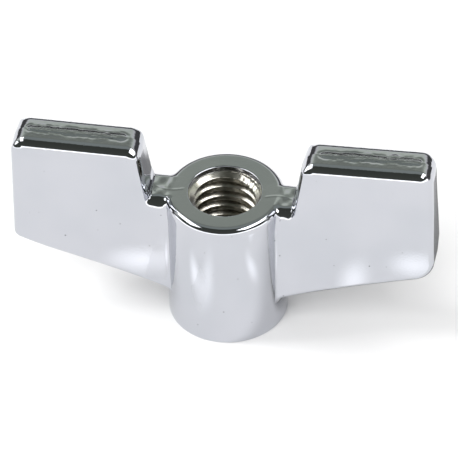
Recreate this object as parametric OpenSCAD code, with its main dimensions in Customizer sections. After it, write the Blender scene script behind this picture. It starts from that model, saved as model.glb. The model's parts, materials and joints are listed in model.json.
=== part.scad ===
// Wing nut with a cylindrical hub and two broad wings, all one bright-plated casting.
// The casting is moulded round a thin threaded bush, which holds the female thread.
// Origin: centre of the seating face at the bottom of the hub. +Z: along the thread axis,
// towards the wing tops. +X: along the right wing.

/* [Hub] */
// Height of the hub, from its seating face to its top face
hub_h = 16.9; // [16.8:0.1:20]
// Diameter of the hub at its top
hub_top_d = 13.2; // [12.8:0.1:14.5]
// Diameter of the hub at its seating face
hub_base_d = 13.5; // [12.8:0.1:14.8]
// Radius of the rounded rim at the top of the hub
rim_r = 0.8; // [0.2:0.05:1]
// Radius of the rounded edge at the bottom of the hub
base_edge_r = 0.1; // [0.05:0.05:0.6]

/* [Thread] */
// Nominal diameter of the thread, 5/16 inch
thread_d = 7.94; // [7.9:0.01:8]
// Pitch of the thread, 18 turns to the inch
pitch = 1.411; // [1.25:0.001:1.5]
// Share of the full thread depth that is left by the hole drilled for the tap
thread_engagement = 0.8; // [0.6:0.05:1]
// Outer diameter of the threaded bush
bush_d = 9.8; // [9.4:0.1:10.4]
// Height of the threaded bush
bush_h = 16.2; // [12:0.1:16.3]
// Depth of the ring groove that locks the bush in the casting
groove_depth = 0.4; // [0.2:0.1:0.5]
// Height of the ring groove that locks the bush in the casting
groove_h = 3.0; // [2:0.5:6]
// Diameter of the opening that the casting leaves above the bush
mouth_d = 8.1; // [8.0:0.1:9]
// Radius of the rounded lip of that opening
mouth_r = 0.15; // [0.1:0.05:0.4]

/* [Wings] */
// Distance from the thread axis to the wing's outer end, at its top
tip_x_top = 23.3; // [18:0.1:24]
// Distance from the thread axis to the wing's outer end, at its lower corner
tip_x_low = 23.7; // [18:0.1:25]
// Distance from the thread axis to the wing's inner edge, at its top
inner_x_top = 9.1; // [8.2:0.1:12]
// Distance from the thread axis to the wing's inner edge, at the neck
inner_x_neck = 8.1; // [7.5:0.1:9]
// Height of the wing's top at its inner edge
top_z_inner = 23.5; // [20:0.1:26]
// Height of the wing's top at its outer end
top_z_outer = 23.7; // [20:0.1:26]
// Height of the neck, where the wing joins the hub
neck_z = 16.6; // [13:0.1:16.7]
// Height of the wing's lower outer corner
low_z_tip = 9.5; // [8:0.1:12]
// Height of the wing's lower edge where it meets the hub
low_z_root = 4.2; // [3:0.1:4.8]
// Thickness of the wing at its top
wing_top_t = 4.9; // [4:0.1:5.2]
// Growth of the wing's thickness for each millimetre further down
wing_taper = 0.06; // [0.02:0.01:0.12]
// Rise of the wing's top towards the parting line along its middle
draft_rise = 0.15; // [0.1:0.05:0.3]
// Radius of the wing's rounded long edges, at its top and on the neck
top_edge_r = 1.1; // [0.3:0.05:1.2]
// Radius of the wing's rounded long edges at its underside
low_edge_r = 0.5; // [0.3:0.05:0.7]
// Radius of the wing's rounded upright edges
end_r = 0.8; // [0.4:0.1:1.2]
// Corner radius of the wing's outline at its top
top_corner_r = 1.4; // [0.8:0.1:2.2]
// Corner radius of the right wing's outline at its lower outer corner
right_low_corner_r = 2.0; // [1:0.1:3]
// Corner radius of the left wing's outline at its lower outer corner
left_low_corner_r = 1.0; // [1:0.1:3]

/* [Hidden] */

// A full 60 degree female thread is 0.5413 pitches deep, from its nominal diameter to its crests
minor_r = thread_d / 2 - 0.5413 * pitch * thread_engagement;
bush_r = bush_d / 2;
// The lead-in chamfers reach just past the nominal diameter
bush_chamfer = thread_d / 2 + 0.1 - minor_r;
groove_mid_z = bush_h / 2;
// The root ends inside the wall of the hub, and the blade starts inside the root
root_x = bush_r + 0.2;
blade_x = inner_x_neck + 0.4;
root_overlap = 2;
side_tilt = atan(wing_taper / 2);
top_slope = atan((top_z_outer - top_z_inner) / (tip_x_top - inner_x_top));
// The parting line's ridge is ground down to a narrow flat on top of the wing and the neck
flat_rise = draft_rise - 0.05;
cut_slack = 1;
round_fn = 96;
arc_steps = 6;

// Half of the wing's thickness at height z
function half_t(z) = (wing_top_t + wing_taper * (top_z_inner - z)) / 2;

// Height of the wing's lower edge at a distance x from the thread axis
function low_z(x) =
    low_z_root + (low_z_tip - low_z_root) * (x - hub_top_d / 2) / (tip_x_low - hub_top_d / 2);

// The point of the wing's front face (side -1) or back face (side 1) at x and z
function on_face(side, x, z) = [x, side * half_t(z), z];

// Unit vector along v
function unit(v) = v / norm(v);

// Arc of radius r about [x, y], as outline points
function arc(x, y, r, from, to) =
    [for (i = [0 : arc_steps])
        let (angle = from + (to - from) * i / arc_steps)
        [x + r * cos(angle), y + r * sin(angle)]];

// Corner b of a counter-clockwise outline a, b, c, rounded to radius r
function rounded_corner(a, b, c, r) =
    let (
        along = unit(b - a),
        onward = unit(c - b),
        turn = acos(along * onward),
        centre = b + unit(onward - along) * r / cos(turn / 2),
        start = atan2(-along[0], along[1])
    )
    arc(centre[0], centre[1], r, start, start + turn);

// A convex outline with every corner rounded. The entries of corners are [x, z, radius].
function rounded_outline(corners) =
    let (n = len(corners), p = [for (c = corners) [c[0], c[1]]])
    [for (i = [0 : n - 1])
        each rounded_corner(p[(i + n - 1) % n], p[i], p[(i + 1) % n], corners[i][2])];

// An outline in the X-Z plane, extended through the wing's thickness
module across_wing(outline) {
    rotate([90, 0, 0])
        linear_extrude(height = 4 * half_t(0), center = true)
            polygon(outline);
}

// The wing's cross-section, extended along +X: tapered sides, and a top with rounded edges
// that rises towards the parting line. The top slopes up by slope degrees.
module along_wing(top_z, slope) {
    arc_z = top_z - top_edge_r;
    arc_y = half_t(arc_z) - top_edge_r / cos(side_tilt);
    ridge_tilt = atan(draft_rise / arc_y);
    side = concat([[half_t(0), 0]], arc(arc_y, arc_z, top_edge_r, side_tilt, 90 - ridge_tilt));
    mirrored = [for (i = [len(side) - 1 : -1 : 0]) [-side[i][0], side[i][1]]];
    translate([inner_x_top, 0, 0])
        rotate([0, -slope, 0])
            translate([-inner_x_top, 0, 0])
                rotate([90, 0, 90])
                    linear_extrude(height = 2 * tip_x_low)
                        polygon(concat(side, [[0, top_z + draft_rise]], mirrored));
}

// Point q, pushed on by one slack along the line from p
function pushed_on(p, q) = q + unit(q - p) * cut_slack;

// What rounding to radius r takes off a square corner at [0, 0]. Its ends run on past the
// corner's two sides, so that they cross the sides cleanly.
function corner_waste(r) =
    let (
        round = arc(r, r, r, 270, 180),
        first = pushed_on(round[1], round[0]),
        last = pushed_on(round[arc_steps - 1], round[arc_steps])
    )
    concat(
        [[-cut_slack, -cut_slack], [first[0], -cut_slack], first],
        [for (i = [1 : arc_steps - 1]) round[i]],
        [last, [-cut_slack, last[1]]]
    );

// What rounding to radius r takes off a straight edge that runs from a to b. One of the two
// faces that meet at the edge lies towards inward, and the other is square to it, on the left.
module edge_waste(a, b, inward, r) {
    w = unit(b - a);
    u = unit(inward - w * (inward * w));
    v = cross(w, u);
    start = a - w * cut_slack;
    multmatrix([
        [u[0], v[0], w[0], start[0]],
        [u[1], v[1], w[1], start[1]],
        [u[2], v[2], w[2], start[2]]
    ])
        linear_extrude(height = norm(b - a) + 2 * cut_slack)
            polygon(corner_waste(r));
}

// The wing's blade: a slab whose thickness tapers, with its top and upright edges rounded
module blade(low_corner_r) {
    difference() {
        intersection() {
            across_wing(rounded_outline([
                [blade_x, low_z(blade_x), top_corner_r],
                [tip_x_low, low_z_tip, low_corner_r],
                [tip_x_top, top_z_outer + flat_rise, top_corner_r],
                [inner_x_top, top_z_inner + flat_rise, top_corner_r],
                [inner_x_neck, neck_z, top_corner_r]
            ]));
            along_wing(top_z_inner, top_slope);
        }
        for (side = [-1, 1]) {
            edge_waste(
                on_face(side, tip_x_low, low_z_tip),
                on_face(side, tip_x_top, top_z_outer),
                side < 0 ? [0, 1, 0] : [-1, 0, 0],
                end_r
            );
            edge_waste(
                on_face(side, inner_x_neck, neck_z),
                on_face(side, inner_x_top, top_z_inner),
                side < 0 ? [1, 0, 0] : [0, -1, 0],
                end_r
            );
        }
    }
}

// The neck and root, which join the blade to the hub
module root() {
    end_x = blade_x + root_overlap;
    intersection() {
        across_wing([
            [root_x, low_z(root_x)],
            [end_x, low_z(end_x)],
            [end_x, neck_z - top_edge_r],
            [blade_x, neck_z + flat_rise],
            [root_x, neck_z + flat_rise]
        ]);
        along_wing(neck_z, 0);
    }
}

// One wing on the +X side, with its root, and its underside's edges rounded
module wing(low_corner_r) {
    difference() {
        union() {
            blade(low_corner_r);
            root();
        }
        for (side = [-1, 1])
            edge_waste(
                on_face(side, root_x, low_z(root_x)),
                on_face(side, tip_x_low, low_z_tip),
                side < 0 ? [0, 1, 0] : [0, 0, 1],
                low_edge_r
            );
    }
}

// The hub's outside, slightly wider at its base
module hub() {
    rotate_extrude($fn = round_fn)
        polygon(concat(
            [[0, 0]],
            arc(hub_base_d / 2 - base_edge_r, base_edge_r, base_edge_r, -90, 0),
            arc(hub_top_d / 2 - rim_r, hub_h - rim_r, rim_r, 0, 90),
            [[0, hub_h]]
        ));
}

// Outline of the bush's outer surface, with the ring groove round its middle
bush_wall = [
    [bush_r, groove_mid_z - groove_h / 2],
    [bush_r - groove_depth, groove_mid_z - groove_h / 2 + groove_depth],
    [bush_r - groove_depth, groove_mid_z + groove_h / 2 - groove_depth],
    [bush_r, groove_mid_z + groove_h / 2],
    [bush_r, bush_h]
];

// The space in the hub: the bush's seat, and the mouth with its rounded lip above it
module hub_space() {
    rotate_extrude($fn = round_fn)
        polygon(concat([[0, -cut_slack], [bush_r, -cut_slack]], bush_wall, [[0, bush_h]]));
    rotate_extrude($fn = round_fn)
        polygon(concat(
            [[0, bush_h - cut_slack], [mouth_d / 2, bush_h - cut_slack]],
            arc(mouth_d / 2 + mouth_r, hub_h - mouth_r, mouth_r, 180, 90),
            [[mouth_d / 2 + mouth_r, hub_h + cut_slack], [0, hub_h + cut_slack]]
        ));
}

// The casting: hub and both wings in one piece
module cast_body() {
    color("silver")
        difference() {
            union() {
                hub();
                wing(right_low_corner_r);
                mirror([1, 0, 0])
                    wing(left_low_corner_r);
            }
            hub_space();
        }
}

// The bush, bored to the thread's minor diameter, with a lead-in chamfer at both ends
module thread_bush() {
    color("tan")
        rotate_extrude($fn = round_fn)
            polygon(concat(
                [[minor_r + bush_chamfer, 0], [bush_r, 0]],
                bush_wall,
                [
                    [minor_r + bush_chamfer, bush_h],
                    [minor_r, bush_h - bush_chamfer],
                    [minor_r, bush_chamfer]
                ]
            ));
}

cast_body();
thread_bush();
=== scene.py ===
import json
import math

import bpy
import numpy as np
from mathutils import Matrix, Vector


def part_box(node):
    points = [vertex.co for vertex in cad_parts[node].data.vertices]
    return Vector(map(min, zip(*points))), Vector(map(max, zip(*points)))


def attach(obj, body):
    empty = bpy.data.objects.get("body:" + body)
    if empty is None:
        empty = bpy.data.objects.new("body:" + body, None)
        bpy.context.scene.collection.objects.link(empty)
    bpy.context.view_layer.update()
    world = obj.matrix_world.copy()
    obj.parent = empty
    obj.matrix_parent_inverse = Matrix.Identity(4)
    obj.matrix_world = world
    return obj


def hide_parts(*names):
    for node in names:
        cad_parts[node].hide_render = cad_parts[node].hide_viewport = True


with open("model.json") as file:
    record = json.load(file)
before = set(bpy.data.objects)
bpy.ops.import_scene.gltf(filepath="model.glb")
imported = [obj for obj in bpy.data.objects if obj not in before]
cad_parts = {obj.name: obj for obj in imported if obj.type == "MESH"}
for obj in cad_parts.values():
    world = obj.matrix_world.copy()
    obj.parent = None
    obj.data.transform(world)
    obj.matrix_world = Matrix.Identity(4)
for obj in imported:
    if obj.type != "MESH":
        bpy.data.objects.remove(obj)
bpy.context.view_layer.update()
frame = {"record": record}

import openvdb
from mathutils import Matrix, Vector

MM = 0.001
BODY_LO, BODY_HI = (np.array(corner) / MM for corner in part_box("cast_body"))
BUSH_LO, BUSH_HI = (np.array(corner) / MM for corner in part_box("thread_bush"))
THREAD = next(m for m in frame["record"]["mounts"] if m["name"] == "stud_thread")
LEFT, RIGHT = -1, 1

# The thread and its bush
MINOR_R = THREAD["dims"]["r_mm"]
MAJOR_R = 3.97
PITCH = 1.411
THREAD_START = 0.243  # in turns; it sets where the crests lie at the mouth
BUSH_R = BUSH_HI[0]
BUSH_H = BUSH_HI[2]
LEAD_IN_ANGLE = math.radians(60)
FLANK_ANGLE = math.radians(30)
ROOT_HALF_FLAT = PITCH / 16

# Torn metal where the tap went in
BURR_ANGLE = math.radians(47)
BURR_HALF_ANGLE = math.radians(30)
BURR_DEPTH = 1.6
BURR_H = 0.09

# The hub
HUB_H = 16.9
HUB_BASE_R = BODY_HI[1] - 0.01
HUB_TOP_R = HUB_BASE_R - 0.15
RIM_R = 0.8
BASE_EDGE_R = 0.1
MOUTH_R = 4.03
LIP_R = 0.12

# The wings' outline, seen from the front; x is measured outwards from the thread's axis
TIP_X_LOW = 23.54
TIP_X_TOP = {LEFT: TIP_X_LOW - 0.35, RIGHT: TIP_X_LOW - 0.5}
INNER_X_TOP = {LEFT: 9.24, RIGHT: 9.05}
INNER_X_NECK = {LEFT: 8.28, RIGHT: 7.95}
INNER_SKEW = 0.04
TOP_Z_OUTER = 23.62
TOP_Z_INNER = TOP_Z_OUTER - 0.2
NECK_Z = 16.6
LOW_Z_ROOT = 4.2
LOW_Z_TIP = {LEFT: 9.5, RIGHT: 9.2}
UNDERSIDE_SLOPE = 0.95
ROOT_X = 6.5
WING_START_X = 5.85
ARCH = 0.15
ROOT_DROP = 0.25
TIP_SWEEP = {LEFT: 0.4, RIGHT: 0.0}
TIP_SWEEP_LENGTH = 4.5

# The wings' thickness, and the shape of their tops and necks
WING_TOP_T = 4.9
WING_TAPER = 0.06
DRAFT_RISE = 0.14
NECK_CROWN = 0.28
NECK_SHOULDER = 1.2
LAND_HALF_WIDTH = 0.55
LAND_END_GAP = 1.9
GROOVE_DEPTH = 0.05
GROOVE_WIDTH = 0.2

# Radii of the wings' edges and corners
LOW_EDGE_R = 0.5
TOP_EDGE_R = 1.1
INNER_END_R = {LEFT: 0.8, RIGHT: 0.45}
OUTER_END_R = {LEFT: 0.5, RIGHT: 1.3}
INNER_CORNER_R = 1.3
OUTER_CORNER_R = 1.6
LOW_CORNER_R = {LEFT: 0.6, RIGHT: 2.0}
NECK_CORNER_R = 0.2
ROOT_FILLET_R = 0.4
NECK_BLEND_R = 0.3
SHARPEST_BLEND_R = 0.02

# Unevenness of the casting
RIM_WAVE = 0.02
NECK_LUMPS = 0.035
SEAM_HEIGHT = 0.012
SEAM_WIDTH = 0.13
SEAM_Y = -0.3
SEAM_WANDER = 0.25


# ---------------------------------------------------------------- shaping functions
def rounded_max(a, b, r):
    """The overlap of two solids given by signed distances, with its edge rounded to radius r."""
    both = np.hypot(np.maximum(a + r, 0), np.maximum(b + r, 0))
    return np.minimum(np.maximum(a + r, b + r), 0) + both - r


def rounded_min(a, b, r):
    """The union of two solids, with its hollow corner filled to radius r."""
    return -rounded_max(-a, -b, r)


def outside_line(x, z, start, end):
    """Signed distance from a line in the X-Z plane; positive on the right of start to end."""
    dx, dz = end[0] - start[0], end[1] - start[1]
    return ((x - start[0]) * dz - (z - start[1]) * dx) / math.hypot(dx, dz)


def fade(value, start, end):
    """Smooth step from 0 where value is start to 1 where it is end, whichever is the greater."""
    share = np.clip((value - start) / (end - start), 0, 1)
    return share * share * (3 - 2 * share)


def ripples(along, waves):
    """A sum of sine waves; a wave is its height, its radians per unit of along, and its phase."""
    return sum(height * np.sin(rate * along + phase) for height, rate, phase in waves)


# ---------------------------------------------------------------- the casting's surface
def underside_z(x, side):
    """Height of the wing's lower edge: an arched line, lower at the hub."""
    share = (x - ROOT_X) / (TIP_X_LOW - ROOT_X)
    chord = LOW_Z_ROOT + (LOW_Z_TIP[side] - LOW_Z_ROOT) * share
    arch = 4 * ARCH * share * (1 - share)
    drop = ROOT_DROP * np.exp(-8 * share)
    near_tip = np.maximum(1 - (TIP_X_LOW - x) / TIP_SWEEP_LENGTH, 0)
    return chord + arch - drop + TIP_SWEEP[side] * near_tip**2


def top_groove(x, y, z, side):
    """Depth of the wandering groove round the land along the middle of a wing's top."""
    half_length = (TIP_X_TOP[side] - INNER_X_TOP[side]) / 2
    from_middle = np.abs(x - INNER_X_TOP[side] - half_length)
    past_land = np.maximum(from_middle - half_length + LAND_END_GAP, 0)
    wander = ripples(x, ((0.07, 0.9, side), (0.05, 2.3, 0), (0.03, 6.1, 2)))
    land_edge = np.hypot(y, past_land) - LAND_HALF_WIDTH - wander
    depth = GROOVE_DEPTH * np.exp(-((land_edge / GROOVE_WIDTH) ** 2))
    return depth * fade(z, NECK_Z + 2, NECK_Z + 4)


def face_edge_r(z, top, inner, outer, below, side):
    """Radius between a wing's face and its rim, which differs from one edge to the next."""
    near_neck = fade(z, NECK_Z - 3, NECK_Z - 0.5)
    up_outer_end = fade(z, LOW_Z_TIP[side] + 3, LOW_Z_TIP[side] + 11)
    at_outer_end = fade(outer - below, -1, 1) * up_outer_end
    at_inner_end = fade(inner, -3, -1) * near_neck
    at_top = fade(top - np.maximum(inner, outer), -0.6, 0.6)
    at_neck = fade(inner, -0.4, 0.4) * near_neck
    edge_r = LOW_EDGE_R + (OUTER_END_R[side] - LOW_EDGE_R) * at_outer_end
    edge_r = edge_r + (INNER_END_R[side] - edge_r) * at_inner_end
    return edge_r + (TOP_EDGE_R - edge_r) * np.maximum(at_top, at_neck)


def wing_distance(x, y, z, side):
    """Signed distance from one wing. x is measured outwards from the thread's axis."""
    inner_top = (INNER_X_TOP[side], TOP_Z_INNER)
    outer_top = (TIP_X_TOP[side], TOP_Z_OUTER)
    top = outside_line(x, z, outer_top, inner_top)
    inner = outside_line(x, z, inner_top, (INNER_X_NECK[side], NECK_Z)) + INNER_SKEW * y
    outer = outside_line(x, z, (TIP_X_LOW, LOW_Z_TIP[side]), outer_top)
    below = (underside_z(x, side) - z) * UNDERSIDE_SLOPE
    upper = rounded_min(z - NECK_Z, rounded_max(top, inner, INNER_CORNER_R), NECK_CORNER_R)
    outline = np.maximum(
        np.maximum(upper, rounded_max(top, outer, OUTER_CORNER_R)),
        np.maximum(rounded_max(outer, below, LOW_CORNER_R[side]), WING_START_X - x),
    )
    half_t = (WING_TOP_T + WING_TAPER * (TOP_Z_INNER - z)) / 2
    face = (np.abs(y) - half_t) / math.hypot(1, WING_TAPER / 2)
    ridge = DRAFT_RISE * (1 - np.abs(y) / half_t)
    crown = NECK_CROWN * fade(np.abs(y), half_t, half_t - NECK_SHOULDER)
    on_neck = fade(z, NECK_Z + 1.2, NECK_Z + 0.6) * fade(inner, -0.4, 0)
    rim = outline - ridge - (crown - ridge) * on_neck + top_groove(x, y, z, side)
    return rounded_max(rim, face, face_edge_r(z, top, inner, outer, below, side))


def hub_distance(rho, turn, y, z):
    """Signed distance from the solid hub; its rim is slightly uneven at the front."""
    ripple = np.sin(5 * turn + 0.8 * np.sin(3 * turn))
    ripple = ripple + 0.7 * np.sin(11 * turn + 1 + 1.5 * np.sin(2 * turn))
    wave = RIM_WAVE * ripple * fade(z, HUB_H - 1.2, HUB_H - 0.6) * fade(y, 2, -2)
    wall = rho - HUB_BASE_R + (HUB_BASE_R - HUB_TOP_R) * z / HUB_H + wave
    return np.maximum(rounded_max(wall, z - HUB_H, RIM_R), rounded_max(wall, -z, BASE_EDGE_R))


def neck_lumps(x, y, z):
    """How far the lumpy surface between the hub and the wings lies below a smooth one."""
    lumps = NECK_LUMPS * np.sin(3.4 * x + 0.4) * np.sin(2.7 * y + 0.9)
    off_hub = fade(np.abs(x), 5.6, 6.4)
    off_wing = fade(np.abs(x), INNER_X_NECK[LEFT] + 0.5, INNER_X_NECK[LEFT] - 0.1)
    return lumps * fade(z, NECK_Z - 1.2, NECK_Z - 0.6) * off_hub * off_wing


def seam_height(x, y, z):
    """Height of the casting's seam, which wanders across the hub's top and the necks."""
    seam_y = SEAM_WANDER * np.sin(1.3 * x) + SEAM_Y
    seam = SEAM_HEIGHT * np.exp(-(((y - seam_y) / SEAM_WIDTH) ** 2))
    off_mouth = fade(np.abs(x), MOUTH_R + 0.3, MOUTH_R + 0.7)
    off_wing = fade(np.abs(x), INNER_X_NECK[RIGHT], INNER_X_NECK[RIGHT] - 0.5)
    return seam * fade(z, NECK_Z - 1, NECK_Z - 0.5) * off_mouth * off_wing


def casting_distance(x, y, z):
    """Signed distance from the casting's surface, in millimetres, negative in the metal."""
    rho = np.hypot(x, y)
    hub = hub_distance(rho, np.arctan2(y, x), y, z)
    wings = np.where(x > 0, wing_distance(x, y, z, RIGHT), wing_distance(-x, y, z, LEFT))
    saddle = fade(z, NECK_Z - 0.7, NECK_Z - 0.1) * fade(np.abs(y), 2.5, 1.6)
    blend_r = ROOT_FILLET_R + (NECK_BLEND_R - ROOT_FILLET_R) * saddle
    near_wall = fade(rho, HUB_TOP_R - 0.9, HUB_TOP_R - 0.2)
    body = rounded_min(hub, wings, SHARPEST_BLEND_R + blend_r * near_wall)
    body = rounded_max(body + neck_lumps(x, y, z), MOUTH_R - rho, LIP_R)
    bush_seat = np.minimum(BUSH_R - rho, BUSH_H - z)
    return np.maximum(body - seam_height(x, y, z), bush_seat)


# ---------------------------------------------------------------- meshes
def mesh_object(name, points, faces, normals=None):
    """A mesh object, smooth shaded, with its own normals where they are given."""
    mesh = bpy.data.meshes.new(name)
    mesh.from_pydata(points.tolist(), [], faces.tolist())
    mesh.validate()
    mesh.polygons.foreach_set("use_smooth", [True] * len(mesh.polygons))
    if normals is not None:
        mesh.normals_split_custom_set_from_vertices(normals.tolist())
    mesh.update()
    obj = bpy.data.objects.new(name, mesh)
    bpy.context.scene.collection.objects.link(obj)
    return obj


def surface_normals(distance, points, step=0.002):
    """Unit gradients of a distance function at points, by central differences."""
    gradient = np.empty_like(points)
    for axis in range(3):
        ahead, behind = points.copy(), points.copy()
        ahead[:, axis] += step
        behind[:, axis] -= step
        gradient[:, axis] = distance(*ahead.T) - distance(*behind.T)
    return gradient / np.maximum(np.linalg.norm(gradient, axis=1, keepdims=True), 1e-9)


def surface_mesh(name, distance, lowest, highest, cell, rounds=3):
    """The zero surface of a distance function as a smooth quad mesh, in metres."""
    axes = [np.arange(lo, hi + cell, cell) for lo, hi in zip(lowest, highest)]
    values = distance(axes[0][:, None, None], axes[1][None, :, None], axes[2][None, None, :])
    band = 4 * cell
    grid = openvdb.FloatGrid(band)
    grid.copyFromArray(np.clip(values, -band, band).astype(np.float32))
    points, _, quads = grid.convertToPolygons(isovalue=0.0, adaptivity=0.0)
    points = np.array(points, float) * cell + np.array([axis[0] for axis in axes])
    for _ in range(rounds):
        points -= surface_normals(distance, points) * distance(*points.T)[:, None]
    return mesh_object(name, points * MM, quads, surface_normals(distance, points))


def thread_radius(turns):
    """The bore's radius where the thread's phase is turns; whole turns are mid-crest."""
    from_crest = np.abs((turns + 0.5) % 1.0 - 0.5) * PITCH
    flank_run = (MAJOR_R - MINOR_R) * math.tan(FLANK_ANGLE)
    crest_half = PITCH / 2 - ROOT_HALF_FLAT - flank_run
    flank = (from_crest - crest_half) / math.tan(FLANK_ANGLE)
    return MINOR_R + np.clip(flank, 0, MAJOR_R - MINOR_R)


def burrs(angle, depth):
    """How far the torn metal where the tap went in stands out of the bore's wall."""
    span = fade(np.abs(angle - BURR_ANGLE), BURR_HALF_ANGLE, 0)
    span = span * fade(depth, BURR_DEPTH, BURR_DEPTH - 0.4)
    return BURR_H * span * (1 + np.sin(31 * angle) * np.sin(9 * depth + 7 * angle))


def bush_mesh(name, around=160, along=330):
    """The bush: helical thread inside, lead-in chamfers at both ends, plain wall outside."""
    angle = np.linspace(0, 2 * math.pi, around, endpoint=False)
    height = np.linspace(0, BUSH_H, along)
    turns = height[:, None] / PITCH - angle[None, :] / (2 * math.pi) + THREAD_START
    from_end = np.minimum(height, BUSH_H - height)[:, None]
    lead_in = MAJOR_R - from_end * math.tan(LEAD_IN_ANGLE)
    radius = np.maximum(thread_radius(turns), lead_in)
    radius = radius - burrs(angle[None, :], (BUSH_H - height)[:, None])
    outside = np.full(around, BUSH_R)
    profile = list(zip(radius, height)) + [(outside, BUSH_H), (outside, 0.0)]
    across, back = np.cos(angle), np.sin(angle)
    rings = [np.stack([r * across, r * back, z + 0 * angle], 1) for r, z in profile]
    count = len(rings)
    ring, step = np.meshgrid(np.arange(count), np.arange(around), indexing="ij")
    here, above = ring * around, (ring + 1) % count * around
    beyond = (step + 1) % around
    faces = np.stack([here + step, above + step, above + beyond, here + beyond], -1)
    return mesh_object(name, np.vstack(rings) * MM, faces.reshape(-1, 4)[:, ::-1])


# ---------------------------------------------------------------- nodes
# A mix node has sockets of one name for every type of data, so its colour sockets go by number
MIX_COLOUR_A, MIX_COLOUR_B, MIX_RESULT = 6, 7, 2


def connect(node, inputs):
    """Link or set a node's inputs; each value is another node's output or a constant."""
    for key, value in inputs.items():
        if isinstance(value, bpy.types.NodeSocket):
            node.id_data.links.new(value, node.inputs[key])
        else:
            node.inputs[key].default_value = value


def node_adder(tree):
    """A function that adds a node to tree, with its settings and its inputs."""

    def add(kind, inputs=None, **settings):
        node = tree.nodes.new(kind)
        for key, value in settings.items():
            setattr(node, key, value)
        connect(node, inputs or {})
        return node

    return add


def new_material(name):
    """A node material, with its shader and a function that adds nodes to it."""
    material = bpy.data.materials.new(name)
    material.use_nodes = True
    tree = material.node_tree
    return material, tree.nodes["Principled BSDF"], node_adder(tree)


def millimetres(add, stretch=(1, 1, 1)):
    """Object coordinates in millimetres, stretched for textures that run along one axis."""
    coords = add("ShaderNodeTexCoord").outputs["Object"]
    scale = [part / MM for part in stretch]
    return add("ShaderNodeMapping", {"Vector": coords, "Scale": scale}).outputs["Vector"]


def maths(add, operation, *inputs):
    return add("ShaderNodeMath", dict(enumerate(inputs)), operation=operation).outputs["Value"]


def times(add, a, b):
    return maths(add, "MULTIPLY", a, b)


def mix(add, factor, first, second):
    """The colour first where factor is 0, and second where it is 1."""
    inputs = {"Factor": factor, MIX_COLOUR_A: first, MIX_COLOUR_B: second}
    return add("ShaderNodeMix", inputs, data_type="RGBA").outputs[MIX_RESULT]


def noise(add, place, per_mm, detail=2.0):
    inputs = {"Vector": place, "Scale": per_mm, "Detail": detail}
    return add("ShaderNodeTexNoise", inputs).outputs["Fac"]


def map_range(add, value, from_min, from_max, to_min, to_max):
    """Smooth step from to_min where value is from_min to to_max where it is from_max."""
    inputs = {
        "Value": value,
        "From Min": from_min, "From Max": from_max,
        "To Min": to_min, "To Max": to_max,
    }
    return add("ShaderNodeMapRange", inputs, interpolation_type="SMOOTHSTEP").outputs["Result"]


def uneven(add, place, per_mm, low, high):
    """A level that drifts between low and high over the surface."""
    return map_range(add, noise(add, place, per_mm), 0.3, 0.7, low, high)


def stacked_bumps(add, layers):
    """One normal from bump layers, each a height and its depth in millimetres."""
    normal = None
    for height, depth in layers:
        inputs = {"Height": height, "Distance": depth * MM}
        if normal:
            inputs["Normal"] = normal
        normal = add("ShaderNodeBump", inputs).outputs["Normal"]
    return normal


# ---------------------------------------------------------------- materials
PLATING_DARK = (0.53, 0.545, 0.585, 1)
PLATING_LIGHT = (0.565, 0.575, 0.615, 1)
PLATING_WORN = (0.30, 0.32, 0.30, 1)
# Painted shade inside the plating's small holes
HOLE_PAINTED_SHADE = (0.10, 0.10, 0.11, 1)
THREAD_DARK = (0.55, 0.525, 0.47, 1)
THREAD_LIGHT = (0.68, 0.66, 0.60, 1)


def ground_streak(add, place, axes, on_top):
    """1 on the ragged streak that is ground along the middle of each wing's top."""
    off_centre = maths(add, "ABSOLUTE", axes["Y"])
    far_out = maths(add, "ABSOLUTE", axes["X"])
    ragged = maths(add, "MULTIPLY_ADD", noise(add, place, 0.5), 1.2, off_centre)
    across = times(add, on_top, map_range(add, ragged, 0.9, 1.5, 1, 0))
    inner_end = map_range(add, far_out, 10.6, 11.6, 0, 1)
    outer_end = map_range(add, far_out, 20.8, 21.8, 1, 0)
    return times(add, across, times(add, inner_end, outer_end))


def pinholes_and_shade(add, place, axes):
    """1 in the few small holes of the plating, which are fainter on the tops than on the faces;
    the mask dents them and paints their shade dark.
    """
    flat = add("ShaderNodeCombineXYZ", {"X": axes["X"], "Y": axes["Z"]}).outputs["Vector"]
    spots = add("ShaderNodeTexVoronoi", {"Vector": flat, "Scale": 0.24}, voronoi_dimensions="2D")
    size = maths(add, "MULTIPLY_ADD", noise(add, place, 0.6), 0.06, spots.outputs["Distance"])
    below_tops = map_range(add, axes["Z"], NECK_Z - 0.6, NECK_Z - 0.5, 1, 0.3)
    return times(add, map_range(add, size, 0.035, 0.05, 1, 0), below_tops)


def chrome_material():
    """Bright plating with a faint orange peel, ground streaks on the wing tops and a few small
    holes with painted shade in them.
    """
    material, shader, add = new_material("bright_plating")
    place = millimetres(add)
    axes = add("ShaderNodeSeparateXYZ", {"Vector": place}).outputs
    on_top = map_range(add, axes["Z"], TOP_Z_INNER - 0.3, TOP_Z_INNER, 0, 1)
    ground = ground_streak(add, place, axes, on_top)
    pinhole_dents_and_shade = pinholes_and_shade(add, place, axes)

    plating = mix(add, uneven(add, place, 0.12, 0, 1), PLATING_DARK, PLATING_LIGHT)
    worn = mix(add, times(add, ground, 0.35), plating, PLATING_WORN)
    streaks = times(add, noise(add, millimetres(add, (0.5, 3.2, 1)), 1.0, 3.0), ground)
    layers = (
        (noise(add, place, 0.35), 0.012),
        (noise(add, place, 4.0), 0.003),
        (streaks, 0.09),
        (times(add, noise(add, place, 1.6), on_top), 0.016),
        (pinhole_dents_and_shade, -0.02),
    )
    connect(shader, {
        # The small holes are painted dark, as the shade inside them
        "Base Color": mix(add, times(add, pinhole_dents_and_shade, 0.75), worn, HOLE_PAINTED_SHADE),
        "Metallic": 1,
        "Roughness": maths(add, "MULTIPLY_ADD", ground, 0.05, uneven(add, place, 0.5, 0.05, 0.09)),
        "Normal": stacked_bumps(add, layers),
    })
    return material


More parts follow.
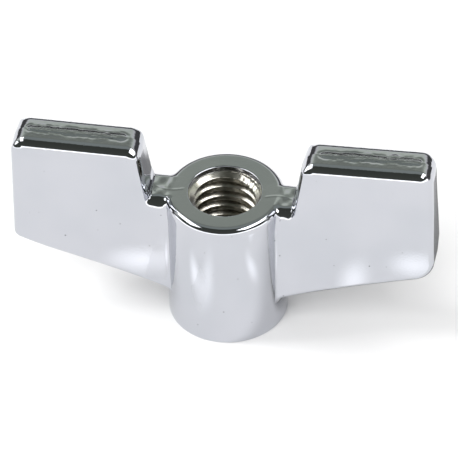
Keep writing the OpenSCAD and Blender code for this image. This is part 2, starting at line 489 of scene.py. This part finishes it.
def thread_material():
    """Cut thread metal, warmer and duller than the plating, with fine tool marks."""
    material, shader, add = new_material("thread_metal")
    place = millimetres(add)
    connect(shader, {
        "Base Color": mix(add, uneven(add, place, 1.2, 0, 1), THREAD_DARK, THREAD_LIGHT),
        "Metallic": 1,
        "Roughness": uneven(add, place, 1.0, 0.18, 0.26),
        "Normal": stacked_bumps(add, ((noise(add, place, 2.0), 0.004),)),
    })
    return material


def matte_material(name, per_mm, darkest, lightest):
    """A matte grey that varies a little, with its shader and a function that adds nodes to it."""
    material, shader, add = new_material(name)
    shade = uneven(add, millimetres(add), per_mm, darkest, lightest)
    grey = add("ShaderNodeCombineColor", {"Red": shade, "Green": shade, "Blue": shade})
    connect(shader, {"Base Color": grey.outputs["Color"], "Roughness": 1, "Specular IOR Level": 0})
    return material, shader, add


def painted_shadow_material(name):
    """A painted shadow: a dark matte card that fades out towards its edges, standing for the nut's
    shadow on the floor.
    """
    material, shader, add = matte_material(name, 0.05, 0.20, 0.26)
    place = add("ShaderNodeTexCoord").outputs["Object"]
    axes = add("ShaderNodeSeparateXYZ", {"Vector": place}).outputs
    off_centre = [maths(add, "ABSOLUTE", axes[axis]) for axis in ("X", "Y")]
    fades = [map_range(add, distance, 0.7, 1, 1, 0) for distance in off_centre]
    connect(shader, {"Alpha": times(add, *fades)})
    return material


def painted_light_pool_material(name, strength):
    """Painted light: a pool of light that fades from the middle of the card to nothing at its rim.
    """
    material, _, add = new_material(name)
    place = add("ShaderNodeTexCoord").outputs["Object"]
    middle = add("ShaderNodeTexGradient", {"Vector": place}, gradient_type="SPHERICAL")
    level = map_range(add, middle.outputs["Fac"], 0, 1, 0, strength)
    light = add("ShaderNodeEmission", {"Strength": level})
    clear = add("ShaderNodeBsdfTransparent")
    both = add("ShaderNodeAddShader", {0: light.outputs[0], 1: clear.outputs[0]})
    connect(material.node_tree.nodes["Material Output"], {"Surface": both.outputs[0]})
    return material


# ---------------------------------------------------------------- the pieces
body = surface_mesh("casting", casting_distance, BODY_LO - 0.8, BODY_HI + 0.8, cell=0.12)
body.data.materials.append(chrome_material())
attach(body, "root")
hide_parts("cast_body")

bush = bush_mesh("bush")
bush.data.materials.append(thread_material())
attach(bush, "root")
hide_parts("thread_bush")


# ---------------------------------------------------------------- studio
# The sky's levels: elevation in degrees, brightness, and tint. Behind the nut it is dark at the
# horizon and grey above; in front of it there is a bright strip at the horizon, and black above.
NEUTRAL = (1.0, 1.0, 1.0)
GREENISH = (0.92, 1.0, 0.87)
BLUISH = (0.90, 1.0, 0.95)
SKY_BEHIND = (
    (0, 0.08, NEUTRAL), (22, 0.08, NEUTRAL), (28, 0.72, NEUTRAL), (37, 0.66, GREENISH),
    (42, 0.38, GREENISH), (44, 0.37, GREENISH), (50, 0.25, GREENISH), (66, 0.30, BLUISH),
    (90, 0.30, BLUISH),
)
SKY_AHEAD = (
    (0, 1.3, NEUTRAL), (3, 2.5, NEUTRAL), (11, 2.5, NEUTRAL), (14, 0.08, GREENISH),
    (90, 0.06, GREENISH),
)
BACKDROP = (1.15, 1.15, 1.15, 1)
FILL = (0.65, 0.65, 0.65, 1)

FLOOR_HALF_WIDTH = 3.0
CARD_Z = 0.1
SOFTBOX_DISTANCE = 1.0

CAMERA_AZIMUTH = 10.5
CAMERA_ELEVATION = 43.2
CAMERA_ROLL = math.radians(-1.97)
CAMERA_DISTANCE = 400.0
CAMERA_TARGET = Vector((0.31, 0, 11.18))
LENS = 283.284
SENSOR_WIDTH = 36


def direction(azimuth, elevation):
    """Unit vector from the object; azimuth 0 is towards -Y, and 90 towards +X."""
    a, e = math.radians(azimuth), math.radians(elevation)
    return Vector((math.sin(a) * math.cos(e), -math.cos(a) * math.cos(e), math.sin(e)))


def place_in_scene(name, data):
    obj = bpy.data.objects.new(name, data)
    bpy.context.scene.collection.objects.link(obj)
    return obj


def add_sheet(name, half_width, material):
    """A level square sheet that belongs to the studio; its half width is in metres."""
    mesh = bpy.data.meshes.new(name)
    corners = [(-1, -1), (1, -1), (1, 1), (-1, 1)]
    mesh.from_pydata([(x * half_width, y * half_width, 0) for x, y in corners], [], [(0, 1, 2, 3)])
    sheet = place_in_scene(name, mesh)
    sheet.data.materials.append(material)
    return sheet


def add_card(name, centre, half_size, material):
    """A card just above the floor that shows only in the metal, to paint shadow and pools of light
    on the floor there; sizes are in millimetres.
    """
    card = add_sheet(name, 1, material)
    card.location = (centre[0] * MM, centre[1] * MM, CARD_Z * MM)
    card.scale = (half_size[0] * MM, half_size[1] * MM, 1)
    card.visible_camera = card.visible_diffuse = card.visible_shadow = False


def add_painted_light_pool(name, centre, half_size, strength):
    """A card that paints a soft pool of light on the floor, seen only in what the metal reflects.
    """
    add_card(name, centre, half_size, painted_light_pool_material(name, strength))


def sky_ramp(add, height, stops):
    """Colour against the sine of the elevation."""
    node = add("ShaderNodeValToRGB", {"Fac": height})
    elements = node.color_ramp.elements
    while len(elements) < len(stops):
        elements.new(0.5)
    for element, (elevation, level, tint) in zip(elements, stops):
        element.position = math.sin(math.radians(elevation))
        element.color = [level * part for part in tint] + [1]
    return node.outputs["Color"]


def add_world():
    """The sky that the metal reflects, with a plain fill for the floor and a plain backdrop."""
    world = bpy.data.worlds.new("studio")
    bpy.context.scene.world = world
    world.use_nodes = True
    add = node_adder(world.node_tree)
    coords = add("ShaderNodeTexCoord").outputs["Generated"]
    axes = add("ShaderNodeSeparateXYZ", {0: coords}).outputs
    behind = sky_ramp(add, axes["Z"], SKY_BEHIND)
    ahead = sky_ramp(add, axes["Z"], SKY_AHEAD)
    side = add("ShaderNodeMapRange", {"Value": axes["Y"], "From Min": -0.12, "From Max": 0.0})
    colour = mix(add, side.outputs["Result"], ahead, behind)
    ray = add("ShaderNodeLightPath").outputs
    for kind, plain in (("Is Diffuse Ray", FILL), ("Is Camera Ray", BACKDROP)):
        colour = mix(add, ray[kind], colour, plain)
    connect(world.node_tree.nodes["Background"], {"Color": colour})


def add_sun(name, azimuth, elevation, strength, spread):
    light = bpy.data.lights.new(name, "SUN")
    light.energy = strength
    light.angle = math.radians(spread)
    sun = place_in_scene(name, light)
    sun.rotation_euler = direction(azimuth, elevation).to_track_quat("Z", "Y").to_euler()
    sun.visible_glossy = False


def add_softbox(name, azimuth, elevation, width, height, radiance):
    """A softbox that shows in the metal but doesn't light the floor. Its sizes are in metres."""
    light = bpy.data.lights.new(name, "AREA")
    light.shape = "RECTANGLE"
    light.size, light.size_y = width, height
    light.energy = radiance * math.pi * width * height
    box = place_in_scene(name, light)
    towards = direction(azimuth, elevation)
    box.location = towards * SOFTBOX_DISTANCE
    box.rotation_euler = towards.to_track_quat("Z", "Y").to_euler()
    box.visible_diffuse = box.visible_camera = False


def add_camera():
    back = direction(CAMERA_AZIMUTH, CAMERA_ELEVATION)
    right = (-back).cross(Vector((0, 0, 1))).normalized()
    up = right.cross(-back)
    tilted_right = math.cos(CAMERA_ROLL) * right + math.sin(CAMERA_ROLL) * up
    tilted_up = math.cos(CAMERA_ROLL) * up - math.sin(CAMERA_ROLL) * right
    camera = place_in_scene("camera", bpy.data.cameras.new("camera"))
    camera.data.sensor_width = SENSOR_WIDTH
    camera.data.lens = LENS
    camera.data.clip_start = 0.01
    turn = Matrix((tilted_right, tilted_up, back)).transposed().to_4x4()
    camera.matrix_world = Matrix.Translation((CAMERA_TARGET + back * CAMERA_DISTANCE) * MM) @ turn
    bpy.context.scene.camera = camera


add_sheet("floor", FLOOR_HALF_WIDTH, matte_material("studio_floor", 0.01, 0.89, 0.91)[0])
add_world()
add_sun("front_key", -20, 50, strength=1.4, spread=40)
add_sun("side_key", -88, 45, strength=1.5, spread=20)
add_softbox("left_box", -92, 54, width=0.8, height=0.36, radiance=3)
add_softbox("right_box", 82, 54, width=0.9, height=0.36, radiance=5)
# Dark cards that paint the nut's shadow onto the floor, seen only in the metal's reflection
shadow_paint = painted_shadow_material("painted_shadow_grey")
add_card("painted_shadow_behind", (0, 17), (37.6, 10.6), shadow_paint)
add_card("painted_shadow_right", (20.25, 3), (13.8, 5.9), shadow_paint)
add_card("painted_shadow_left", (-20.25, 4.5), (13.8, 4.1), shadow_paint)
# Cards that paint pools of light onto the floor in front of the nut, seen only in the metal's
# reflection
add_painted_light_pool("painted_light_pool_left", (-11, -12), (5.5, 3), strength=0.6)
add_painted_light_pool("painted_light_pool_right", (20, -15.5), (4, 3), strength=0.6)
add_painted_light_pool("painted_light_pool_side", (13.5, -12), (2.5, 5), strength=0.5)
add_painted_light_pool("painted_light_pool_front", (-6, -15), (4.2, 7.5), strength=0.35)
add_camera()
bpy.context.scene.view_settings.view_transform = "Standard"
